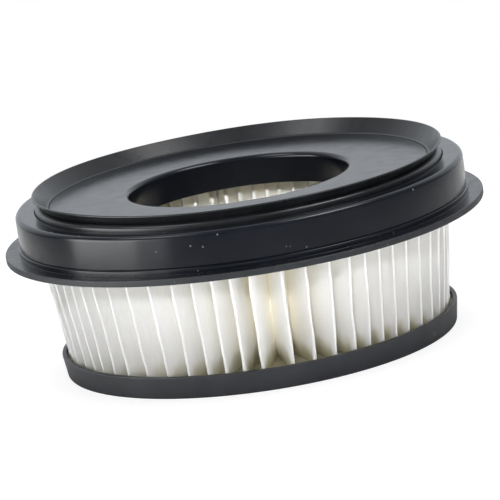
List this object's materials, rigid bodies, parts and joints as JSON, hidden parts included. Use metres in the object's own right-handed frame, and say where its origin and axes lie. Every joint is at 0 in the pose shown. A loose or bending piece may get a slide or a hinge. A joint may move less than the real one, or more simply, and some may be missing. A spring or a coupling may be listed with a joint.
{
  "type": "vacuum filter",
  "caption": "Round pleated vacuum filter: a tapering ring of white pleats between a closed black tray and a flanged black cap with an outlet hole and a flared sealing lip.",
  "frame": {"origin": "centre of the closed end's flat outer face, on the filter's axis", "axes": "+Z along the filter's axis, from the closed end towards the outlet; -Y faces the picture's camera"},
  "size_m": [0.14, 0.14, 0.054],
  "materials": {
    "black_plastic": "satin",
    "seal_rubber": "satin",
    "filter_sheet": "matte",
    "potting_adhesive": "satin"
  },
  "bodies": {
    "root": {"end_tray": "black_plastic", "tray_potting_ring": "potting_adhesive", "pleated_media": "filter_sheet", "cap_potting_ring": "potting_adhesive", "cap": "black_plastic", "lip_seal": "seal_rubber"}
  },
  "joints": []
}
